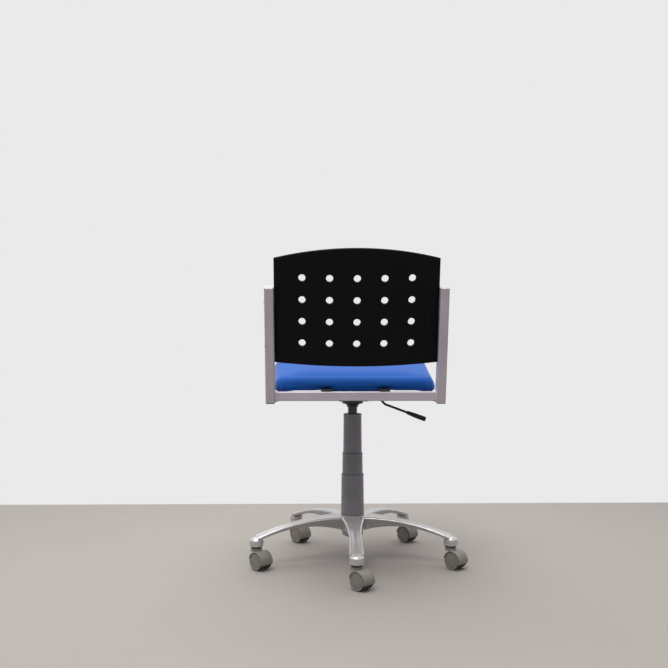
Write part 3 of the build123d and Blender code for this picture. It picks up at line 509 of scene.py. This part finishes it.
def ease(mesh, rows, rounds):
    """Average each vertex's row with those of its neighbours, a number of times."""
    ends = np.empty(len(mesh.edges) * 2, dtype=np.int32)
    mesh.edges.foreach_get("vertices", ends)
    first, second = ends.reshape(-1, 2).T
    share = np.maximum(np.bincount(ends, minlength=len(rows)), 1)[:, None]
    for _ in range(rounds):
        total = np.zeros_like(rows)
        np.add.at(total, first, rows[second])
        np.add.at(total, second, rows[first])
        rows = (rows + total / share) / 2.0
    return rows


def rise(value, low, high):
    """Smooth rise from 0 at low to 1 at high: t t (3 - 2 t)."""
    share = np.clip((value - low) / (high - low), 0.0, 1.0)
    return share * share * (3.0 - 2.0 * share)


def tube_along(path, out, side, radius, count):
    """Rings of radius r(s) about a closed path: point + r (out cos a + side sin a)."""
    angle = np.linspace(0.0, 2.0 * np.pi, count, endpoint=False)[None, :, None]
    swing = np.cos(angle) * out[:, None, :] + np.sin(angle) * side[:, None, :]
    return path[:, None, :] + radius[:, None, None] * swing


def rounded_square(size, corner, count):
    """Closed square with rounded corners, and the way out at each point.

    A point at angle a lies at size / 2 over the p-norm of (cos a, sin a), where the power p is
    2 + size / (2 corner), so a smaller corner is sharper.
    """
    angle = np.linspace(0.0, 2.0 * np.pi, count, endpoint=False)
    ray = np.stack([np.cos(angle), np.sin(angle)], axis=1)
    power = 2.0 + size / corner / 2.0
    reach = (np.abs(ray) ** power).sum(axis=1) ** (-1.0 / power)
    return ray * (reach * size / 2.0)[:, None], ray


class ChairOperator:
    """Shared settings of the operators."""

    bl_options = {"REGISTER", "UNDO"}


class CHAIR_OT_backrest(ChairOperator, bpy.types.Operator):
    """Black moulded shell and its screws"""

    bl_idname = "chair.backrest"
    bl_label = "Backrest"

    def execute(self, context):
        shell = plastic(
            "black_moulded_shell", colours().shell, rough=0.46,
            grain=1300.0, depth=0.00015, gloss=0.12, edge=4.0, soft=0.0016,
        )
        dress(shell, "backrest_shell")
        dress(metal("screw_plating", colours().zinc, rough=0.30), "backrest_screws")
        return {"FINISHED"}


class CHAIR_OT_frame(ChairOperator, bpy.types.Operator):
    """Silver painted tubes, their end caps, and the weld beads at the rail"""

    bl_idname = "chair.frame"
    bl_label = "Frame"

    def execute(self, context):
        silver = paint(
            "silver_frame_paint", colours().frame, rough=0.40, flake=0.5, metallic=0.25, coat=0.15
        )
        dress(silver, "left_upright", "right_upright", "upright_caps", "rear_rail")
        dress(plastic("foot_plugs", colours().trim, rough=0.55), "upright_plugs")
        bars = paint("seat_bar_paint", colours().steel, rough=0.42)
        dress(bars, "left_seat_bar", "right_seat_bar")
        self.weld("left_rail_weld", -1.0, silver)
        self.weld("right_rail_weld", 1.0, silver)
        return {"FINISHED"}

    def weld(self, name, side, finish):
        """Bead round the end of the rail.

        A tube along the rail's rounded square section, whose radius ripples by two sines.
        """
        low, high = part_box("rear_rail")
        size = high[1] - low[1]
        loop, ray = rounded_square(size, RAIL_CORNER, WELD_STATIONS)
        path = np.zeros((WELD_STATIONS, 3))
        path[:, 0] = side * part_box("right_upright")[0][0]
        path[:, 1] = (low[1] + high[1]) / 2.0 + loop[:, 0]
        path[:, 2] = high[2] - size / 2.0 + loop[:, 1]
        out = np.zeros_like(path)
        out[:, 1:] = ray
        across = np.zeros_like(path)
        across[:, 0] = -1.0
        station = np.arange(WELD_STATIONS)
        ripple = WELD_RIPPLE * np.sin(station * 2.0 * np.pi / WELD_RIPPLE_STEP)
        sway = WELD_SWAY * np.sin(station * WELD_SWAY_RATE)
        points = tube_along(path, out, across, sizes().weld * (1.0 + ripple + sway), WELD_SIDES)
        faces = closed_grid(WELD_STATIONS, WELD_SIDES)
        new_piece(name, points, faces, finish, "seat")


class CHAIR_OT_cushion(ChairOperator, bpy.types.Operator):
    """Inflated seat cushion with a woven blue cover"""

    bl_idname = "chair.cushion"
    bl_label = "Cushion"

    def execute(self, context):
        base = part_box("seat_board")[0][2]
        cover = upholstery("blue_woven_cover", colours().fabric, sizes().weave, base)
        pad = self.start(NODES["seat_cushion"])
        self.inflate(pad)
        self.rim(pad)
        pad.data.materials.clear()
        pad.data.materials.append(cover.material)
        pad.data.shade_smooth()
        fine = pad.modifiers.new("Fine", "SUBSURF")
        fine.levels = fine.render_levels = 1
        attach(pad, "seat")
        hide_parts("seat_cushion")
        self.hem(cover)
        self.staples()
        return {"FINISHED"}

    def start(self, node):
        """Copy of the cushion solid, merged, remeshed in even cells."""
        mesh = node.data.copy()
        mesh.name = "cushion_cover"
        work = bmesh.new()
        work.from_mesh(mesh)
        bmesh.ops.remove_doubles(work, verts=work.verts, dist=MERGE_DISTANCE)
        work.to_mesh(mesh)
        work.free()
        pad = new_object("cushion_cover", mesh)
        cells = pad.modifiers.new("Cells", "REMESH")
        cells.mode = "VOXEL"
        cells.voxel_size = sizes().voxel
        self.bake(pad)
        return pad

    def bake(self, pad):
        """Put the result of the modifiers into the mesh and drop them."""
        bpy.context.view_layer.update()
        final = pad.evaluated_get(bpy.context.evaluated_depsgraph_get())
        made = bpy.data.meshes.new_from_object(final)
        pad.modifiers.clear()
        old = pad.data
        pad.data = made
        bpy.data.meshes.remove(old)

    def rim(self, pad):
        """Lower rim of the cover.

        It hangs by the droop times a smooth fall over the rim, and times a share: none over the
        seat bars, three quarters between them, about a half beside them, six tenths at the front,
        and the whole at the rear corners. Round each corner it gathers along its normal by
        sin(14 a) sin(2 a), with a from 0 to a quarter turn.
        """
        place = points_of(pad.data)
        normal = normals_of(pad.data)
        x, y, z = np.abs(place[:, 0]), place[:, 1], place[:, 2]
        base, top = (corner[2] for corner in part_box("seat_board"))
        near = rise(base + RIM_FALL - z, 0.0, RIM_FALL)
        near[(z > (base + top) / 2.0) & (normal[:, 2] < FACES_DOWN)] = 0.0
        inner, outer = (corner[0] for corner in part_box("right_seat_bar"))
        between = rise(inner - BAR_MARGIN - x, 0.0, BETWEEN_FADE)
        beside = rise(x - outer - BAR_MARGIN, 0.0, BESIDE_FADE)
        share = np.where(y < 0.0, BETWEEN_SHARE * between + BESIDE_SHARE * beside, FRONT_SHARE)
        share = share + CORNER_SHARE * rise(x, *CORNER_X) * rise(-y, *CORNER_Y)
        low, high = place.min(axis=0), place.max(axis=0)
        rear_wide = x[y < low[1] + GATHER_BAND].max()
        front_wide = x[y > high[1] - GATHER_BAND].max()
        past_x = x - np.where(y < 0.0, rear_wide, front_wide) + GATHER_REACH
        past_y = np.where(y < 0.0, low[1] - y, y - high[1]) + GATHER_REACH
        turn = np.arctan2(np.maximum(past_y, 0.0), np.maximum(past_x, 1e-6))
        turn = np.where((past_y > 0.0) & (past_x > 0.0), turn, 0.0)
        waves = np.sin(GATHER_WAVES * turn) * np.sin(2.0 * turn) * (near > 0.0)
        waves *= rise(base + GATHER_TOP - z, 0.0, GATHER_FADE)
        place += normal * (sizes().gather * waves)[:, None]
        place[:, 2] -= sizes().droop * near * share
        put_points(pad.data, place)

    def inflate(self, pad):
        """Shrink the sides and top a little, let pressure swell the cover, and keep it by the foam.

        The shift from the foam is eased, held to the swell along and out of it, and eased again.
        """
        rest = points_of(pad.data)
        normal = normals_of(pad.data)
        lift = np.clip((rest[:, 2] - rest[:, 2].min() - HELD_HEIGHT) / HELD_FADE, 0.0, 1.0)
        put_points(pad.data, rest - normal * (sizes().slack * lift)[:, None])
        held = pad.vertex_groups.new(name="held")
        held.add(np.nonzero(lift <= 0.0)[0].tolist(), 1.0, "REPLACE")
        cloth = pad.modifiers.new("Cover", "CLOTH")
        for key, value in CLOTH.items():
            setattr(cloth.settings, key, value)
        cloth.settings.uniform_pressure_force = sizes().pressure
        cloth.settings.effector_weights.gravity = 0.0
        cloth.settings.vertex_group_mass = held.name
        cloth.collision_settings.use_self_collision = False
        cloth.point_cache.frame_start = 1
        cloth.point_cache.frame_end = CLOTH_FRAMES
        for moment in range(1, CLOTH_FRAMES + 1):
            bpy.context.scene.frame_set(moment)
        self.bake(pad)
        bpy.context.scene.frame_set(1)
        swell = sizes().swell
        shift = ease(pad.data, points_of(pad.data) - rest, SHIFT_ROUNDS)
        out = (shift * normal).sum(axis=1, keepdims=True)
        along = shift - out * normal
        far = np.linalg.norm(along, axis=1, keepdims=True)
        along *= np.minimum(1.0, swell / np.maximum(far, 1e-9))
        out = np.clip(out, -SINK_SHARE * swell, swell)
        put_points(pad.data, rest + ease(pad.data, along + out * normal, SETTLE_ROUNDS))

    def outline(self, count):
        """Even points round the seat board's lower edge, the way out at each, and its height."""
        place = points_of(NODES["seat_board"].data)
        low, high = (np.array(corner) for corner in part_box("seat_board"))
        middle = (low + high) / 2.0
        off = (np.abs(place - middle) / (high - low))[:, :2].max(axis=1)
        edge = place[(off > EDGE_SHARE) & (place[:, 2] < middle[2])][:, :2]
        edge = edge[np.argsort(np.arctan2(edge[:, 1] - middle[1], edge[:, 0] - middle[0]))]
        edge = np.concatenate([edge, edge[:1]])
        pace = np.linalg.norm(np.diff(edge, axis=0), axis=1)
        run = np.concatenate([[0.0], np.cumsum(pace)])
        at = np.linspace(0.0, run[-1], count, endpoint=False)
        loop = np.stack([np.interp(at, run, edge[:, axis]) for axis in (0, 1)], axis=1)
        ahead = np.roll(loop, -2, axis=0) - np.roll(loop, 2, axis=0)
        ahead /= np.linalg.norm(ahead, axis=1, keepdims=True)
        return loop, np.stack([ahead[:, 1], -ahead[:, 0]], axis=1), low[2]

    def hem(self, finish):
        """Cover turned under the board.

        A closed strip from just outside the board's edge to the hem width inside it. Its lower
        face sinks by the thickness, by folds that deepen towards the free edge, and by a roll
        exp(-(5 s)^2) at the rim, with s from 0 to 1 across it. The free edge waves by two sines.
        """
        loop, out, base = self.outline(HEM_STATIONS)
        inward = np.linspace(-HEM_LIP, sizes().hem, HEM_COLUMNS)
        across = np.concatenate([inward, inward[::-1]])[None, :]
        share = (across + HEM_LIP) / (sizes().hem + HEM_LIP)
        turn = np.arange(HEM_STATIONS)[:, None] * 2.0 * np.pi / HEM_STATIONS
        short = HEM_SHORT_SHARE * np.sin(turn * HEM_SHORT_WAVES + 1.0)
        edge = HEM_WAVE * (np.sin(turn * HEM_LONG_WAVES) + short) * share ** 2
        shift = HEM_FOLD_SHIFT * np.sin(turn * HEM_SHIFT_COUNT)
        fold = HEM_FOLD * (1.0 + np.sin(turn * HEM_FOLD_COUNT + shift)) * share
        roll = HEM_ROLL * np.exp(-(share * HEM_ROLL_FALL) ** 2)
        under = np.repeat([1.0, 0.0], HEM_COLUMNS)[None, :]
        points = np.empty((HEM_STATIONS, 2 * HEM_COLUMNS, 3))
        points[:, :, :2] = loop[:, None, :] - out[:, None, :] * (across + edge)[:, :, None]
        points[:, :, 2] = base - HEM_GAP - under * (HEM_THICKNESS + fold + roll)
        faces = closed_grid(HEM_STATIONS, 2 * HEM_COLUMNS)
        new_piece("cover_hem", points, faces, finish, "seat")

    def staples(self):
        """Flat staples in the hem: boxes on a line in it, each turned by a sine of its number."""
        loop, out, base = self.outline(STAPLE_COUNT)
        number = np.arange(STAPLE_COUNT)
        lean = STAPLE_LEAN * np.sin(number * STAPLE_LEAN_RATE)[:, None]
        ahead = np.stack([-out[:, 1], out[:, 0]], axis=1)
        along = ahead * np.cos(lean) + out * np.sin(lean)
        side = np.stack([-along[:, 1], along[:, 0]], axis=1)
        ring = np.array([[-1.0, -1.0], [1.0, -1.0], [1.0, 1.0], [-1.0, 1.0]])
        lengthwise, sideways = np.tile(ring, (2, 1)).T[:, None, :, None]
        upward = np.repeat([-1.0, 1.0], 4)[None, :]
        middle = (loop - out * sizes().hem * STAPLE_LINE)[:, None, :]
        points = np.empty((STAPLE_COUNT, 8, 3))
        points[:, :, :2] = middle + along[:, None, :] * lengthwise * sizes().staple / 2.0
        points[:, :, :2] += side[:, None, :] * sideways * STAPLE_HALF_WIDTH
        points[:, :, 2] = base - STAPLE_DROP + upward * STAPLE_HALF_HEIGHT
        box = np.array([
            [3, 2, 1, 0], [4, 5, 6, 7], [0, 1, 5, 4], [1, 2, 6, 5], [2, 3, 7, 6], [3, 0, 4, 7],
        ])
        faces = (number[:, None, None] * 8 + box[None]).reshape(-1, 4)
        wire = metal("staple_wire", colours().zinc, rough=0.35)
        new_piece("hem_staples", points, faces, wire, "seat", smooth=False)


class CHAIR_OT_column(ChairOperator, bpy.types.Operator):
    """Gas lift with its bearing and the three cover sleeves"""

    bl_idname = "chair.column"
    bl_label = "Column"

    def execute(self, context):
        grey = plastic(
            "grey_sleeves", colours().sleeve, rough=0.42, grain=1800.0, depth=0.0001, gloss=0.4
        )
        dress(grey, "cover_lower", "cover_middle", "cover_upper")
        dark = paint("dark_lift_plating", colours().tube, rough=0.20, metallic=0.8, coat=0.3)
        dress(dark, "lift_tube", "gas_cylinder")
        dress(plastic("pale_guide_bush", colours().bush, rough=0.45), "guide_bush")
        dress(plastic("cylinder_gland", colours().trim, rough=0.5), "cylinder_gland")
        steel = metal("ground_steel", colours().zinc, rough=0.22, scratch=(1.0, 1.0, 0.05))
        dress(steel, "piston_rod", "piston", "rod_clip", "valve_button")
        dress(steel, "bearing_balls", "bearing_lower_race", "bearing_upper_race")
        return {"FINISHED"}


class CHAIR_OT_mechanism(ChairOperator, bpy.types.Operator):
    """Seat mechanism, lever, bolts and seat board"""

    bl_idname = "chair.mechanism"
    bl_label = "Mechanism"

    def execute(self, context):
        black = paint("black_mechanism_paint", colours().steel, rough=0.40)
        dress(black, "taper_socket", "mechanism_housing", "mechanism_plate", "lever_rod")
        dress(plastic("lever_grip", colours().trim, rough=0.50), "lever_grip")
        plated = metal("bolt_plating", colours().zinc, rough=0.32)
        dress(plated, "mechanism_bolts", "tee_nuts", "lever_pivot")
        dress(ply("seat_board_ply", colours().board), "seat_board")
        return {"FINISHED"}


class CHAIR_OT_base(ChairOperator, bpy.types.Operator):
    """Polished star base and its castors"""

    bl_idname = "chair.base"
    bl_label = "Base and castors"

    def execute(self, context):
        # The star base's flanks near the hub are darkened by painted shade
        casting = metal("polished_base", colours().base, rough=0.28, painted_shade=0.52, soft=0.0012)
        casting.set(Metallic=0.5, Coat_Weight=0.4, Coat_Roughness=0.12)
        dress(casting, "star_base")
        dress(plastic("stem_collars", colours().trim, rough=0.5), "castor_sleeves")
        stems = metal("stem_plating", colours().zinc, rough=0.28)
        dress(stems, "castor_stems")
        hood = plastic(
            "castor_hoods", colours().castor, rough=0.42, grain=1600.0, depth=0.0001, edge=1.5
        )
        for name in NODES:
            if not name.startswith("castor_") or name in ("castor_sleeves", "castor_stems"):
                continue
            if name.endswith("hood"):
                dress(hood, name)
            elif name.endswith("axle"):
                dress(stems, name)
            else:
                dress(self.wheel(name), name)
        return {"FINISHED"}

    def wheel(self, name):
        """Finish of one wheel about its own axle, which stands a wheel's radius above the floor."""
        joint = JOINTS[name + "_spin"]
        radius = joint["pos_m"][2]
        return wheel_finish(name + "_plastic", joint, colours().wheel, colours().tread, radius)


class CHAIR_OT_stage(ChairOperator, bpy.types.Operator):
    """Plain floor, soft light, and the camera"""

    bl_idname = "chair.stage"
    bl_label = "Stage"

    def execute(self, context):
        self.floor()
        self.world()
        for lamp in LAMPS:
            self.lamp(*lamp)
        self.camera()
        context.scene.view_settings.view_transform = "Standard"
        return {"FINISHED"}

    def floor(self):
        """Flat rectangle that ends a little way in front of the chair, beyond it in the view."""
        rear, front = -FLOOR_REACH, FLOOR_END
        left, right = -FLOOR_REACH, FLOOR_REACH
        points = [(left, rear, 0.0), (right, rear, 0.0), (right, front, 0.0), (left, front, 0.0)]
        f = Finish("pale_floor")
        value = colours().floor
        cloud = f.noise(scale=3.0, detail=4.0)
        f.set(Base_Color=f.blend(cloud, tone(value, 0.97), tone(value, 1.03)))
        f.set(Roughness=0.75, Specular_IOR_Level=0.2)
        mesh = bpy.data.meshes.new("floor")
        mesh.from_pydata(points, [], [(0, 1, 2, 3)])
        mesh.materials.append(f.material)
        floor = new_object("floor", mesh)

    def world(self):
        """Light from above and from the chair's front, dim from behind it, and a pale background.

        Camera, glossy and transmission rays see the background's even level.
        """
        world = bpy.data.worlds.new("studio")
        world.use_nodes = True
        tree = world.node_tree

        def work(kind, *values):
            """Math node with its inputs linked or set."""
            node = tree.nodes.new("ShaderNodeMath")
            node.operation = kind
            for socket, value in zip(node.inputs, values):
                plug(tree, socket, value)
            return node.outputs[0]

        way = tree.nodes.new("ShaderNodeSeparateXYZ")
        direction = tree.nodes.new("ShaderNodeTexCoord").outputs["Generated"]
        plug(tree, way.inputs[0], direction)
        lean = work("MULTIPLY_ADD", way.outputs[2], SKY_LEAN, way.outputs[1])
        sky = tree.nodes.new("ShaderNodeMapRange")
        sky.interpolation_type = "SMOOTHSTEP"
        for socket, value in zip(sky.inputs, (lean,) + SKY_SPAN + SKY_LEVELS):
            plug(tree, socket, value)
        level = sky.outputs[0]
        path = tree.nodes.new("ShaderNodeLightPath").outputs
        seen = work("MAXIMUM", path["Is Camera Ray"], path["Is Glossy Ray"])
        seen = work("MAXIMUM", seen, path["Is Transmission Ray"])
        change = work("SUBTRACT", BACKGROUND, level)
        background = tree.nodes["Background"]
        plug(tree, background.inputs[0], (1.0, 1.0, 1.0, 1.0))
        plug(tree, background.inputs[1], work("MULTIPLY_ADD", seen, change, level))
        bpy.context.scene.world = world

    def lamp(self, name, spot, target, size, power):
        """Square soft lamp that points at a target."""
        data = bpy.data.lights.new(name, "AREA")
        data.size = size
        data.energy = power
        lamp = new_object(name, data)
        lamp.location = spot
        way = Vector(target) - Vector(spot)
        lamp.rotation_euler = way.to_track_quat("-Z", "Y").to_euler()

    def camera(self):
        """Nearly level view of the back of the chair."""
        data = bpy.data.cameras.new("camera")
        data.sensor_width = SENSOR_WIDTH
        data.lens = CAMERA_LENS
        camera = new_object("camera", data)
        camera.location = CAMERA_PLACE
        camera.rotation_euler = Vector(CAMERA_LOOK).to_track_quat("-Z", "Y").to_euler()
        bpy.context.scene.camera = camera


class CHAIR_PT_panel(bpy.types.Panel):
    """Steps that dress the chair"""

    bl_idname = "CHAIR_PT_panel"
    bl_label = "Swivel Office Chair"
    bl_space_type = "VIEW_3D"
    bl_region_type = "UI"
    bl_category = "Chair"

    def draw(self, context):
        for step in STEPS:
            self.layout.operator(step.bl_idname)
        for group in (context.scene.chair_colours, context.scene.chair_sizes):
            box = self.layout.box()
            for key in group.__annotations__:
                box.prop(group, key)


STEPS = (
    CHAIR_OT_backrest,
    CHAIR_OT_frame,
    CHAIR_OT_cushion,
    CHAIR_OT_column,
    CHAIR_OT_mechanism,
    CHAIR_OT_base,
    CHAIR_OT_stage,
)
CLASSES = (ChairColours, ChairSizes) + STEPS + (CHAIR_PT_panel,)


def register():
    """Add the classes and their settings."""
    for item in CLASSES:
        bpy.utils.register_class(item)
    bpy.types.Scene.chair_colours = PointerProperty(type=ChairColours)
    bpy.types.Scene.chair_sizes = PointerProperty(type=ChairSizes)


def unregister():
    """Take the settings and the classes away again."""
    del bpy.types.Scene.chair_sizes
    del bpy.types.Scene.chair_colours
    for item in reversed(CLASSES):
        bpy.utils.unregister_class(item)


def main():
    """Dress the chair step by step."""
    register()
    for step in STEPS:
        group, name = step.bl_idname.split(".")
        getattr(getattr(bpy.ops, group), name)()


if __name__ == "__main__":
    main()
